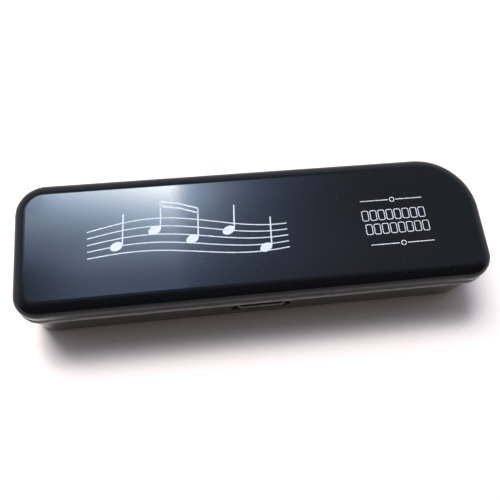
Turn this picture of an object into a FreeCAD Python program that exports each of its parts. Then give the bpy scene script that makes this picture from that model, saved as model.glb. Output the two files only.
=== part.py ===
"""Long moulded case for a sixteen-hole chromatic harmonica, closed, standing on its flat bottom.

Millimetres. X runs along the case, Y from the front (latch, negative) to the rear (hinges),
Z up. The origin is on the floor, under the middle of the case.
"""
import FreeCAD, Part
import Sketcher
import math
import os
from FreeCAD import Placement, Rotation, Vector

doc = FreeCAD.newDocument("harmonica_case")

# Driving sizes, each set once
SIZES = [
    ("case_length", 225.0),
    ("case_width", 65.0),
    ("base_height", 27.0),
    ("lid_height", 13.0),
    ("corner_front_left", 11.5),
    ("corner_front_right", 12.2),
    ("corner_rear_left", 15.2),
    ("corner_rear_right", 29.4),
    ("lid_wall", 1.8),
    ("lid_draft", 2.0),
    ("lid_edge_round", 6.5),
    ("lip_out", 0.5),
    ("lip_height", 1.8),
    ("lip_round", 1.2),
    ("base_wall", 2.6),
    ("base_floor", 2.4),
    ("base_draft", 1.0),
    ("base_inset", 0.8),
    ("base_bottom_round", 2.2),
    ("base_inner_round", 1.2),
    ("base_edge_round", 0.5),
    ("rim_height", 1.8),
    ("rim_clearance", 0.2),
    ("hinge_end_distance", 50.5),
    ("hinge_radius", 2.3),
    ("hinge_drop", 2.5),
    ("hinge_proud", 0.4),
    ("hinge_pin_radius", 1.0),
    ("hinge_pin_clearance", 0.05),
    ("base_knuckle_length", 7.0),
    ("lid_knuckle_length", 9.0),
    ("knuckle_gap", 0.4),
    ("knuckle_room", 0.4),
    ("lid_swing_room", 1.2),
    ("hinge_boss_wall", 1.5),
    ("rear_relief", 0.6),
    ("latch_drop", 11.0),
    ("button_length", 25.5),
    ("button_height", 6.5),
    ("button_round", 2.4),
    ("button_clearance", 0.15),
    ("button_travel", 1.5),
    ("travel_stop_width", 2.0),
    ("travel_stop_height", 5.0),
    ("dish_end_margin", 2.0),
    ("dish_side_margin", 2.75),
    ("dish_depth", 1.0),
    ("latch_pad_thickness", 0.6),
    ("flange_margin", 1.2),
    ("flange_thickness", 1.0),
    ("bolt_thickness", 0.8),
    ("bolt_end_margin", 1.2),
    ("bolt_side_margin", 0.6),
    ("bolt_rail_thickness", 1.2),
    ("bolt_rail_gap", 0.5),
    ("bolt_bar_depth", 1.6),
    ("bolt_bar_height", 1.6),
    ("stake_radius", 0.9),
    ("stake_rail_gap", 1.5),
    ("stake_length", 1.3),
    ("latch_running_gap", 0.15),
    ("latch_hook_gap", 0.3),
    ("spring_radius", 2.0),
    ("spring_wire", 0.4),
    ("spring_turns", 3.5),
    ("spring_edge_gap", 0.05),
    ("spring_length", 4.0),
    ("spring_end_gap", 0.05),
    ("housing_wall", 1.2),
    ("housing_ear", 5.6),
    ("housing_ear_thickness", 1.4),
    ("housing_post_radius", 2.4),
    ("housing_post_length", 2.4),
    ("housing_window_gap", 0.3),
    ("screw_radius", 0.95),
    ("screw_head_radius", 1.9),
    ("screw_head_height", 1.3),
    ("screw_length", 4.6),
    ("screw_clearance", 0.15),
    ("screw_pilot_clearance", 0.05),
    ("screw_cross_length", 2.5),
    ("screw_cross_width", 0.5),
    ("screw_cross_depth", 0.6),
    ("catch_thickness", 1.2),
    ("catch_width", 18.0),
    ("catch_height", 4.6),
    ("catch_tongue_gap", 1.5),
    ("catch_barb_depth", 1.1),
    ("catch_barb_height", 1.45),
    ("catch_barb_nose", 0.5),
    ("catch_barb_tip", 0.35),
    ("catch_front_gap", 0.6),
    ("catch_screw_spacing", 12.0),
    ("catch_boss_rise", 2.6),
    ("tray_end_left", 4.1),
    ("tray_end_right", 17.1),
    ("tray_side_front", 10.1),
    ("tray_side_rear", 5.6),
    ("tray_bottom", 2.8),
    ("recess_corner", 6.0),
    ("slide_notch_length", 10.0),
    ("slide_notch_width", 14.0),
    ("slide_notch_depth", 16.0),
    ("scoop_radius", 8.0),
    ("scoop_reach", 3.2),
    ("scoop_spacing", 76.0),
    ("scoop_depth", 14.0),
    ("cushion_thickness", 2.5),
    ("cushion_height", 16.0),
    ("cushion_side_gap", 1.0),
    ("lining_thickness", 0.5),
    ("tray_clearance", 0.3),
    ("tray_top_drop", 1.2),
    ("lid_pad_end_gap", 3.5),
    ("lid_pad_side_gap", 2.25),
    ("lid_pad_thickness", 4.0),
    ("lid_pad_corner", 6.0),
]

# Places worked out from the driving sizes
LAYOUT = [
    ("half_length", "Sizes.case_length / 2"),
    ("half_width", "Sizes.case_width / 2"),
    ("parting", "Sizes.base_height"),
    ("base_slope", "tan(Sizes.base_draft * 1deg)"),
    ("lid_inset", "Sizes.lip_out + Sizes.lid_wall"),
    ("rim_inset", "lid_inset + Sizes.rim_clearance"),
    ("base_inner_inset", "Sizes.base_inset + Sizes.base_wall"),
    ("lid_ceiling", "parting + Sizes.lid_height - Sizes.lid_wall"),
    ("hinge_x", "half_length - Sizes.hinge_end_distance"),
    ("hinge_y", "half_width + Sizes.hinge_proud - Sizes.hinge_radius"),
    ("hinge_z", "parting - Sizes.hinge_drop"),
    ("lid_bore", "Sizes.hinge_pin_radius + Sizes.hinge_pin_clearance"),
    ("notch_width", "Sizes.lid_knuckle_length + 2 * Sizes.knuckle_gap"),
    ("notch_front", "hinge_y - Sizes.hinge_radius - Sizes.knuckle_room"),
    ("notch_floor", "hinge_z - Sizes.hinge_radius - Sizes.lid_swing_room"),
    ("boss_front", "notch_front - Sizes.hinge_boss_wall"),
    ("boss_width", "notch_width + 2 * Sizes.hinge_boss_wall"),
    ("pin_length", "notch_width + 2 * Sizes.base_knuckle_length"),
    ("latch_z", "parting - Sizes.latch_drop"),
    ("front_wall", "Sizes.base_inset - half_width + Sizes.latch_drop * base_slope"),
    ("latch_pad", "front_wall + Sizes.base_wall + Sizes.latch_pad_thickness"),
    ("button_front", "-half_width - Sizes.hinge_proud"),
    ("flange_front", "latch_pad + Sizes.latch_running_gap"),
    ("flange_back", "flange_front + Sizes.flange_thickness"),
    ("flange_length", "Sizes.button_length + 2 * Sizes.flange_margin"),
    ("flange_height", "Sizes.button_height + 2 * Sizes.flange_margin"),
    ("bolt_back", "flange_back + Sizes.bolt_thickness"),
    ("bolt_plate_length", "flange_length - 2 * Sizes.bolt_end_margin"),
    ("bolt_plate_height", "flange_height - 2 * Sizes.bolt_side_margin"),
    ("spring_x", "bolt_plate_length / 2 - Sizes.spring_edge_gap - Sizes.spring_radius"),
    ("rail_outer", "spring_x - Sizes.spring_radius - Sizes.bolt_rail_gap"),
    ("rail_inner", "rail_outer - Sizes.bolt_rail_thickness"),
    ("stake_x", "rail_inner - Sizes.stake_rail_gap - Sizes.stake_radius"),
    ("tongue_width", "2 * (rail_inner - Sizes.catch_tongue_gap)"),
    ("housing_back", "bolt_back + Sizes.spring_length"),
    ("housing_half", "flange_length / 2 + Sizes.latch_running_gap + Sizes.housing_wall"),
    ("housing_half_height", "flange_height / 2 + Sizes.latch_running_gap + Sizes.housing_wall"),
    ("catch_front", "latch_pad + Sizes.catch_front_gap"),
    ("catch_back", "catch_front + Sizes.catch_thickness"),
    ("barb_bottom", "latch_z + flange_height / 2 + Sizes.latch_running_gap + Sizes.latch_hook_gap"),
    ("barb_top", "barb_bottom + Sizes.catch_barb_height"),
    ("bar_bottom", "barb_top + Sizes.latch_hook_gap"),
    ("bar_top", "bar_bottom + Sizes.bolt_bar_height"),
    ("bar_front", "catch_back + Sizes.latch_hook_gap"),
    ("bar_back", "bar_front + Sizes.bolt_bar_depth"),
    ("catch_plate_bottom", "parting + Sizes.catch_boss_rise"),
    ("catch_screw_z", "catch_plate_bottom + Sizes.catch_height / 2"),
    ("ear_front", "latch_pad + Sizes.housing_post_length"),
    ("ear_back", "ear_front + Sizes.housing_ear_thickness"),
    ("ear_x", "housing_half + Sizes.housing_ear / 2"),
    ("tray_top", "parting - Sizes.tray_top_drop"),
    ("lining_top", "tray_top + Sizes.lining_thickness"),
    ("tray_top_inset", "base_inner_inset + Sizes.tray_clearance + Sizes.tray_top_drop * base_slope"),
    ("recess_floor", "Sizes.base_floor + Sizes.tray_bottom + Sizes.lining_thickness"),
    ("recess_left", "base_inner_inset + Sizes.tray_end_left - half_length"),
    ("recess_right", "half_length - base_inner_inset - Sizes.tray_end_right"),
    ("recess_front", "base_inner_inset + Sizes.tray_side_front - half_width"),
    ("recess_rear", "half_width - base_inner_inset - Sizes.tray_side_rear"),
    ("latch_cut_half", "ear_x + Sizes.housing_ear / 2 + Sizes.tray_clearance"),
    ("latch_cut_back", "housing_back + Sizes.housing_wall + Sizes.tray_clearance"),
    ("scoop_floor", "lining_top - Sizes.scoop_depth"),
    ("slide_notch_floor", "lining_top - Sizes.slide_notch_depth"),
    ("slide_notch_front", "(recess_front + recess_rear - Sizes.slide_notch_width) / 2"),
    ("slide_notch_rear", "slide_notch_front + Sizes.slide_notch_width"),
]


def make_sheet(name, rows, prefix):
    sheet = doc.addObject("Spreadsheet::Sheet", name)
    for number, (alias, value) in enumerate(rows, start=1):
        sheet.set("A%d" % number, alias)
        sheet.set("B%d" % number, prefix + str(value))
        sheet.setAlias("B%d" % number, alias)
    doc.recompute()
    return sheet


sizes = make_sheet("Sizes", SIZES, "")
layout = make_sheet("Layout", LAYOUT, "=")

SIDES = (("left", -1), ("right", 1))
AXES = {"x": Vector(1, 0, 0), "y": Vector(0, 1, 0), "z": Vector(0, 0, 1)}
OVER = "1"  # how far a cut runs on past the face it opens
nodes = []


def bind(thing, **expressions):
    for name, expression in expressions.items():
        thing.setExpression(name.replace("__", "."), str(expression))


def node(thing, label):
    thing.Label = label
    nodes.append(thing)
    return thing


# Plain solids and booleans

def box(name, x, y, z):
    """A box from three (low, high) pairs of expressions."""
    made = doc.addObject("Part::Box", name)
    bind(made, Placement__Base__x=x[0], Placement__Base__y=y[0], Placement__Base__z=z[0])
    bind(made, Length="(%s) - (%s)" % (x[1], x[0]), Width="(%s) - (%s)" % (y[1], y[0]),
         Height="(%s) - (%s)" % (z[1], z[0]))
    return made


def centred_box(name, centre, width, y, z):
    return box(name, ("(%s) - (%s) / 2" % (centre, width), "(%s) + (%s) / 2" % (centre, width)), y, z)


def rod(name, axis, start, radius, length):
    """A cylinder from its start point along one axis."""
    made = doc.addObject("Part::Cylinder", name)
    made.Placement = Placement(Vector(), Rotation(Vector(0, 0, 1), AXES[axis]))
    bind(made, Radius=radius, Height=length, Placement__Base__x=start[0],
         Placement__Base__y=start[1], Placement__Base__z=start[2])
    return made


def fuse(name, parts):
    made = doc.addObject("Part::MultiFuse", name)
    made.Shapes = parts
    made.Refine = True
    return made


def cut(name, base, tools):
    made = doc.addObject("Part::Cut", name)
    made.Base = base
    made.Tool = tools[0] if len(tools) == 1 else fuse(name + "_tools", tools)
    return made


# Sketched solids

def origin_plane(body, role):
    return next(item for item in body.Origin.OriginFeatures if item.Role == role)


def attached_sketch(body, name, role, offset):
    sketch = body.newObject("Sketcher::SketchObject", name)
    sketch.AttachmentSupport = [(origin_plane(body, role), "")]
    sketch.MapMode = "FlatFace"
    bind(sketch, AttachmentOffset__Base__z=offset)
    return sketch


def tangent_chain(sketch, count):
    for first in range(count):
        sketch.addConstraint(Sketcher.Constraint("Tangent", first, 2, (first + 1) % count, 1))


def drive(sketch, name, expression, *constraint):
    index = sketch.addConstraint(Sketcher.Constraint(*constraint))
    sketch.renameConstraint(index, name)
    bind(sketch, **{"Constraints__" + name: expression})


def rounded_sketch(body, name, height, sides, corners):
    """A rectangle with four different corners, on a level plane.

    sides are the distances of the left, right, front and rear sides from the origin, and
    corners the radii at front right, rear right, rear left and front left.
    """
    sketch = attached_sketch(body, name, "XY_Plane", height)
    left, right, front, rear = (float(doc.Sizes.evalExpression(side)) for side in sides)
    radii = [float(doc.Sizes.evalExpression(corner)) for corner in corners]
    points = ((right, -front), (right, rear), (-left, rear), (-left, -front))
    runs = ((1, 0), (0, 1), (-1, 0), (0, -1))
    geometry = []
    for index in range(4):
        run = Vector(*runs[index], 0)
        turn = Vector(*runs[(index + 1) % 4], 0)
        before = points[index - 1]
        start = Vector(before[0], before[1], 0) + run * radii[index - 1]
        corner = Vector(points[index][0], points[index][1], 0)
        end = corner - run * radii[index]
        centre = end + turn * radii[index]
        middle = centre + (run - turn).normalize() * radii[index]
        geometry.append(Part.LineSegment(start, end))
        geometry.append(Part.Arc(end, middle, corner + turn * radii[index]))
    sketch.addGeometry(geometry)
    tangent_chain(sketch, 8)
    for line in (0, 4):
        sketch.addConstraint(Sketcher.Constraint("Horizontal", line))
    for line in (2, 6):
        sketch.addConstraint(Sketcher.Constraint("Vertical", line))
    drive(sketch, "front", sides[2], "DistanceY", 0, 1, -1, 1, front)
    drive(sketch, "right", sides[1], "DistanceX", -1, 1, 2, 1, right)
    drive(sketch, "rear", sides[3], "DistanceY", -1, 1, 4, 1, rear)
    drive(sketch, "left", sides[0], "DistanceX", 6, 1, -1, 1, left)
    for index, corner in enumerate(corners):
        drive(sketch, "corner_%d" % index, corner, "Radius", 2 * index + 1, radii[index])
    return sketch


def case_sketch(body, name, height, inset):
    """The case's own outline, moved in by inset."""
    sides = ["Layout.half_length - (%s)" % inset] * 2 + ["Layout.half_width - (%s)" % inset] * 2
    corners = ["Sizes.corner_%s - (%s)" % (place, inset)
               for place in ("front_right", "rear_right", "rear_left", "front_left")]
    return rounded_sketch(body, name, height, sides, corners)


def slot_sketch(body, name, depth, length, height):
    """A slot with round ends at the latch's height, on a plane that faces the front."""
    sketch = attached_sketch(body, name, "XZ_Plane", "-(%s)" % depth)
    half = "((%s) - (%s)) / 2" % (length, height)
    radius = "(%s) / 2" % height
    reach = float(doc.Sizes.evalExpression(half))
    round_end = float(doc.Sizes.evalExpression(radius))
    middle = float(doc.Sizes.evalExpression("Layout.latch_z"))
    low, high = middle - round_end, middle + round_end
    sketch.addGeometry([
        Part.LineSegment(Vector(-reach, low, 0), Vector(reach, low, 0)),
        Part.Arc(Vector(reach, low, 0), Vector(reach + round_end, middle, 0), Vector(reach, high, 0)),
        Part.LineSegment(Vector(reach, high, 0), Vector(-reach, high, 0)),
        Part.Arc(Vector(-reach, high, 0), Vector(-reach - round_end, middle, 0), Vector(-reach, low, 0)),
    ])
    tangent_chain(sketch, 4)
    for line in (0, 2):
        sketch.addConstraint(Sketcher.Constraint("Horizontal", line))
    drive(sketch, "round_end", radius, "Radius", 1, round_end)
    drive(sketch, "reach_right", half, "DistanceX", -1, 1, 1, 3, reach)
    drive(sketch, "reach_left", half, "DistanceX", 3, 3, -1, 1, reach)
    drive(sketch, "middle", "Layout.latch_z", "DistanceY", -1, 1, 1, 3, middle)
    return sketch


def pad(body, sketch, length, back=False, taper=None):
    made = body.newObject("PartDesign::Pad", sketch.Name + "_pad")
    made.Profile = sketch
    made.Reversed = back
    bind(made, Length=length)
    if taper:
        bind(made, TaperAngle="-(%s)" % taper)
    sketch.Visibility = False
    return made


def round_edges(body, base, radius, test):
    """Round those edges of the last feature whose box passes the test."""
    doc.recompute()
    names = ["Edge%d" % number for number, edge in enumerate(base.Shape.Edges, start=1)
             if test(edge.BoundBox)]
    made = body.newObject("PartDesign::Fillet", base.Name + "_round")
    made.Base = (base, names)
    bind(made, Radius=radius)
    return made


def level_edges(height):
    place = float(doc.Sizes.evalExpression(height))
    return lambda bounds: abs(bounds.ZMin - place) < 1e-4 and abs(bounds.ZMax - place) < 1e-4


def facing_edges(depth):
    place = float(doc.Sizes.evalExpression(depth))
    return lambda bounds: abs(bounds.YMin - place) < 1e-4 and abs(bounds.YMax - place) < 1e-4


def case_block(name, height, inset, length, back=False, taper=None, rounding=None):
    """A block on the case's outline, with its far edge rounded if a radius is given."""
    body = doc.addObject("PartDesign::Body", name)
    sketch = case_sketch(body, name + "_outline", height, inset)
    block = pad(body, sketch, length, back, taper)
    if rounding:
        far = "(%s) %s (%s)" % (height, "-" if back else "+", length)
        round_edges(body, block, rounding, level_edges(far))
    return body


def slot_block(name, front, depth, length, height, rounding=None):
    """A round-ended block from its front plane inwards."""
    body = doc.addObject("PartDesign::Body", name)
    sketch = slot_sketch(body, name + "_outline", front, length, height)
    block = pad(body, sketch, depth, back=True)
    if rounding:
        round_edges(body, block, rounding, facing_edges(front))
    return body


def pan_screw(name, start, x, z):
    """A pan-head screw: its head sits at y = start, and its shank runs towards the front."""
    head = rod(name + "_head", "y", (x, start, z), "Sizes.screw_head_radius", "Sizes.screw_head_height")
    shank = rod(name + "_shank", "y", (x, "(%s) - Sizes.screw_length" % start, z),
                "Sizes.screw_radius", "Sizes.screw_length")
    top = "(%s) + Sizes.screw_head_height" % start
    depth = ("(%s) - Sizes.screw_cross_depth" % top, "(%s) + %s" % (top, OVER))
    reach = "Sizes.screw_cross_length / 2"
    narrow = "Sizes.screw_cross_width / 2"
    slots = [box(name + "_slot_%d" % index,
                 ("(%s) - %s" % (x, across), "(%s) + %s" % (x, across)), depth,
                 ("(%s) - %s" % (z, along), "(%s) + %s" % (z, along)))
             for index, (across, along) in enumerate(((reach, narrow), (narrow, reach)))]
    return cut(name, fuse(name + "_blank", [head, shank]), slots)


def signed(sign, expression):
    return "%d * (%s)" % (sign, expression)


# Base shell

def hinge_parts(name, sign):
    """One hinge of the base: what it adds (boss, knuckles) and what it takes away (notch, bore)."""
    centre = signed(sign, "Layout.hinge_x")
    wall_middle = "Layout.half_width - Sizes.base_inset - Sizes.base_wall / 2"
    boss = centred_box(name + "_boss", centre, "Layout.boss_width",
                       ("Layout.boss_front", wall_middle),
                       ("Layout.notch_floor - Sizes.hinge_boss_wall", "Layout.parting"))
    knuckles = [rod(name + "_knuckle_%d" % index, "x",
                    ("%s + (%s)" % (centre, shift), "Layout.hinge_y", "Layout.hinge_z"),
                    "Sizes.hinge_radius", "Sizes.base_knuckle_length")
                for index, shift in enumerate(("-Layout.pin_length / 2", "Layout.notch_width / 2"))]
    notch = centred_box(name + "_notch", centre, "Layout.notch_width",
                        ("Layout.notch_front", "Layout.half_width + Sizes.hinge_radius"),
                        ("Layout.notch_floor", "Layout.parting + Sizes.rim_height + " + OVER))
    bore = rod(name + "_bore", "x",
               ("%s - Layout.pin_length / 2" % centre, "Layout.hinge_y", "Layout.hinge_z"),
               "Sizes.hinge_pin_radius", "Layout.pin_length")
    return [boss] + knuckles, [notch, bore]


def base_shell():
    outer = case_block("base_outer", "Layout.parting", "Sizes.base_inset", "Sizes.base_height",
                       back=True, taper="Sizes.base_draft", rounding="Sizes.base_bottom_round")
    round_edges(outer, outer.Tip, "Sizes.base_edge_round", level_edges("Layout.parting"))
    rim = case_block("base_rim", "Layout.parting - Sizes.rim_height", "Layout.rim_inset",
                     "2 * Sizes.rim_height")
    inside = case_block("base_inside", "Layout.parting", "Layout.base_inner_inset",
                        "Sizes.base_height - Sizes.base_floor", back=True,
                        taper="Sizes.base_draft", rounding="Sizes.base_inner_round")
    mouth = case_block("base_mouth", "Layout.parting", "Layout.base_inner_inset",
                       "Sizes.rim_height + " + OVER)
    tub = cut("base_tub", fuse("base_blank", [outer, rim]), [inside, mouth])

    added, removed = [], []
    for side, sign in SIDES:
        more, less = hinge_parts("base_hinge_" + side, sign)
        added += more
        removed += less
    added.append(centred_box(
        "latch_pad", "0", "2 * (Layout.housing_half + Sizes.housing_ear)",
        ("Layout.front_wall + Sizes.base_wall / 2", "Layout.latch_pad"),
        ("Layout.latch_z - Layout.housing_half_height", "Layout.latch_z + Layout.housing_half_height")))
    removed.append(slot_block("button_hole", "Layout.button_front",
                              "Layout.latch_pad - Layout.button_front + " + OVER,
                              "Sizes.button_length + 2 * Sizes.button_clearance",
                              "Sizes.button_height + 2 * Sizes.button_clearance"))
    removed.append(slot_block("button_dish", "Layout.button_front",
                              "Layout.front_wall + Sizes.dish_depth - Layout.button_front",
                              "Sizes.button_length + 2 * Sizes.dish_end_margin",
                              "Sizes.button_height + 2 * Sizes.dish_side_margin"))
    for side, sign in SIDES:
        x = signed(sign, "Layout.ear_x")
        wall_middle = "Layout.front_wall + Sizes.base_wall / 2"
        added.append(rod("latch_post_" + side, "y", (x, wall_middle, "Layout.latch_z"),
                         "Sizes.housing_post_radius", "Layout.ear_front - (%s)" % wall_middle))
        removed.append(rod("latch_pilot_" + side, "y",
                           (x, "Layout.ear_back - Sizes.screw_length - Sizes.screw_clearance",
                            "Layout.latch_z"),
                           "Sizes.screw_radius + Sizes.screw_pilot_clearance", "Sizes.screw_length"))
    return cut("base_whole", fuse("base_with_bosses", [tub] + added), removed)


node(base_shell(), "base_shell")


# Lid shell

def lid_shell():
    skin = case_block("lid_skin", "Layout.parting", "Sizes.lip_out", "Sizes.lid_height",
                      taper="Sizes.lid_draft", rounding="Sizes.lid_edge_round")
    lip = case_block("lid_lip", "Layout.parting", "0", "Sizes.lip_height", rounding="Sizes.lip_round")
    inside = case_block("lid_inside", "Layout.parting", "Layout.lid_inset",
                        "Sizes.lid_height - Sizes.lid_wall", taper="Sizes.lid_draft",
                        rounding="Sizes.lid_edge_round - Sizes.lid_wall")
    bowl = cut("lid_bowl", fuse("lid_blank", [skin, lip]), [inside])

    wall_middle = "Sizes.lip_out + Sizes.lid_wall / 2 - Layout.half_width"
    boss = centred_box("catch_boss", "0", "Sizes.catch_width", (wall_middle, "Layout.catch_front"),
                       ("Layout.catch_plate_bottom", "Layout.catch_plate_bottom + Sizes.catch_height"))
    relief = box("rear_relief", ("-Sizes.case_length", "Sizes.case_length"),
                 ("Layout.half_width - Layout.lid_inset - " + OVER, "Sizes.case_width"),
                 ("Layout.parting - " + OVER, "Layout.parting + Sizes.rear_relief"))
    removed = []
    arms = []
    for side, sign in SIDES:
        x = signed(sign, "Sizes.catch_screw_spacing / 2")
        removed.append(rod("catch_pilot_" + side, "y",
                           (x, "Layout.catch_back - Sizes.screw_length - Sizes.screw_clearance",
                            "Layout.catch_screw_z"),
                           "Sizes.screw_radius + Sizes.screw_pilot_clearance", "Sizes.screw_length"))
        centre = signed(sign, "Layout.hinge_x")
        start = "%s - Sizes.lid_knuckle_length / 2" % centre
        arms.append(rod("lid_knuckle_" + side, "x", (start, "Layout.hinge_y", "Layout.hinge_z"),
                        "Sizes.hinge_radius", "Sizes.lid_knuckle_length"))
        arms.append(centred_box("lid_arm_" + side, centre, "Sizes.lid_knuckle_length",
                                ("Layout.hinge_y", "Layout.half_width + Sizes.hinge_proud"),
                                ("Layout.hinge_z", "Layout.parting + Sizes.lip_height")))
        removed.append(rod("lid_bore_" + side, "x", (start, "Layout.hinge_y", "Layout.hinge_z"),
                           "Layout.lid_bore", "Sizes.lid_knuckle_length"))
    relieved = cut("lid_relieved", fuse("lid_with_boss", [bowl, boss]), [relief])
    return cut("lid_whole", fuse("lid_with_arms", [relieved] + arms), removed)


node(lid_shell(), "lid_shell")

# Hinge pins
for side, sign in SIDES:
    pin = rod("pin_" + side, "x", ("%s - Layout.pin_length / 2" % signed(sign, "Layout.hinge_x"),
                                   "Layout.hinge_y", "Layout.hinge_z"),
              "Sizes.hinge_pin_radius", "Layout.pin_length")
    node(pin, "hinge_pin_" + side)


# Latch

def latch_button():
    stem = slot_block("button_stem", "Layout.button_front", "Layout.flange_front - Layout.button_front",
                      "Sizes.button_length", "Sizes.button_height", rounding="Sizes.button_round")
    flange = slot_block("button_flange", "Layout.flange_front", "Sizes.flange_thickness",
                        "Layout.flange_length", "Layout.flange_height")
    stakes = [rod("button_stake_" + side, "y",
                  (signed(sign, "Layout.stake_x"), "Layout.flange_front", "Layout.latch_z"),
                  "Sizes.stake_radius", "Sizes.flange_thickness + Sizes.stake_length")
              for side, sign in SIDES]
    return fuse("button_whole", [stem, flange] + stakes)


def latch_bolt():
    """A bent steel strap behind the button: plate, two upright rails and the bar that locks the lid."""
    half_height = "Layout.bolt_plate_height / 2"
    plate = centred_box("bolt_plate", "0", "Layout.bolt_plate_length",
                        ("Layout.flange_back", "Layout.bolt_back"),
                        ("Layout.latch_z - %s" % half_height, "Layout.latch_z + %s" % half_height))
    parts = [plate]
    for side, sign in SIDES:
        centre = signed(sign, "(Layout.rail_outer + Layout.rail_inner) / 2")
        parts.append(centred_box("bolt_rail_" + side, centre, "Sizes.bolt_rail_thickness",
                                 ("Layout.flange_back", "Layout.bar_back"),
                                 ("Layout.latch_z - %s" % half_height, "Layout.bar_top")))
    parts.append(centred_box("bolt_bar", "0", "2 * Layout.rail_outer",
                             ("Layout.bar_front", "Layout.bar_back"),
                             ("Layout.bar_bottom", "Layout.bar_top")))
    holes = [rod("bolt_hole_" + side, "y",
                 (signed(sign, "Layout.stake_x"), "Layout.flange_back - " + OVER, "Layout.latch_z"),
                 "Sizes.stake_radius + Sizes.screw_pilot_clearance",
                 "Sizes.bolt_thickness + 2 * " + OVER)
             for side, sign in SIDES]
    return cut("bolt_whole", fuse("bolt_strap", parts), holes)


def latch_housing():
    """The guide behind the front wall, open at the front and over the rails.

    It has two ears for its screws, and inside, a block that stops the bolt at full travel.
    """
    half_cavity = "Layout.housing_half_height - Sizes.housing_wall"
    block = centred_box("housing_block", "0", "2 * Layout.housing_half",
                        ("Layout.latch_pad", "Layout.housing_back + Sizes.housing_wall"),
                        ("Layout.latch_z - Layout.housing_half_height",
                         "Layout.latch_z + Layout.housing_half_height"))
    ears = centred_box("housing_ears", "0", "2 * (Layout.housing_half + Sizes.housing_ear)",
                       ("Layout.ear_front", "Layout.ear_back"),
                       ("Layout.latch_z - Sizes.housing_post_radius",
                        "Layout.latch_z + Sizes.housing_post_radius"))
    cavity = centred_box("housing_cavity", "0", "2 * (Layout.housing_half - Sizes.housing_wall)",
                         ("Layout.latch_pad - " + OVER, "Layout.housing_back"),
                         ("Layout.latch_z - (%s)" % half_cavity, "Layout.latch_z + (%s)" % half_cavity))
    window = centred_box("housing_window", "0",
                         "2 * (Layout.rail_outer + Sizes.housing_window_gap)",
                         ("Layout.latch_pad - " + OVER, "Layout.housing_back"),
                         ("Layout.latch_z", "Layout.latch_z + 2 * Layout.housing_half_height"))
    holes = [rod("housing_hole_" + side, "y",
                 (signed(sign, "Layout.ear_x"), "Layout.ear_front - " + OVER, "Layout.latch_z"),
                 "Sizes.screw_radius + Sizes.screw_clearance",
                 "Sizes.housing_ear_thickness + 2 * " + OVER)
             for side, sign in SIDES]
    guide = cut("housing_guide", fuse("housing_blank", [block, ears]), [cavity, window] + holes)
    stop = centred_box("travel_stop", "0", "Sizes.travel_stop_width",
                       ("Layout.bolt_back + Sizes.button_travel",
                        "Layout.housing_back + Sizes.housing_wall / 2"),
                       ("Layout.latch_z - Sizes.travel_stop_height / 2",
                        "Layout.latch_z + Sizes.travel_stop_height / 2"))
    return fuse("housing_whole", [guide, stop])


node(latch_button(), "latch_button")
node(latch_bolt(), "latch_bolt")
node(latch_housing(), "latch_housing")
node(fuse("housing_screws", [pan_screw("housing_screw_" + side, "Layout.ear_back",
                                       signed(sign, "Layout.ear_x"), "Layout.latch_z")
                             for side, sign in SIDES]), "latch_housing_screws")


# Latch springs

def size(alias):
    return float(sizes.get(alias))


def place(alias):
    return float(layout.get(alias))


def arc_middle(start, tangent, end):
    """The middle point of the arc that leaves start along the tangent and ends at end."""
    chord = end - start
    along = chord / chord.Length
    across = (tangent - along * tangent.dot(along)).normalize()
    return start + chord / 2 + across * (chord.Length / 2 * math.tan(tangent.getAngle(along) / 2))


def biarc(start, leave, end, arrive):
    """Two tangent arcs that join two points with given directions."""
    gap = end - start
    both = gap.dot(leave + arrive)
    bend = 2 * (1 - leave.dot(arrive))
    reach = (math.sqrt(both ** 2 + bend * gap.dot(gap)) - both) / bend
    joint = (start + end + (leave - arrive) * reach) / 2
    return [Part.Arc(start, arc_middle(start, leave, joint), joint),
            Part.Arc(joint, arc_middle(end, arrive * -1, joint), end)]


def coil(centre_x, front, length, turns, radius, wire, centre_z):
    """A coil spring along Y: one tube on a helix of quarter-turn biarcs."""
    mean = radius - wire / 2
    rise = length - wire
    steps = int(round(turns * 4))

    def helix(step):
        angle = 2 * math.pi * turns * step / steps
        point = Vector(centre_x + mean * math.cos(angle), front + wire / 2 + rise * step / steps,
                       centre_z + mean * math.sin(angle))
        turn = 2 * math.pi * turns
        direction = Vector(-mean * turn * math.sin(angle), rise, mean * turn * math.cos(angle))
        return point, direction.normalize()

    edges = []
    for step in range(steps):
        start, leave = helix(step)
        end, arrive = helix(step + 1)
        edges += [arc.toShape() for arc in biarc(start, leave, end, arrive)]
    path = Part.Wire(edges)
    point, direction = helix(0)
    section = Part.Wire([Part.Circle(point, direction, wire / 2).toShape()])
    return path.makePipeShell([section], True, False)


spring_room = size("spring_length") - 2 * size("spring_end_gap")
coil_gap = (spring_room - size("spring_wire")) / size("spring_turns") - size("spring_wire")
print("least gap between the spring's turns %.2f mm" % coil_gap)
for side, sign in SIDES:
    spring = doc.addObject("Part::Feature", "spring_" + side)
    spring.Shape = coil(sign * place("spring_x"), place("bolt_back") + size("spring_end_gap"),
                        spring_room, size("spring_turns"), size("spring_radius"), size("spring_wire"),
                        place("latch_z"))
    node(spring, "latch_spring_" + side)


# Catch on the lid

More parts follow.
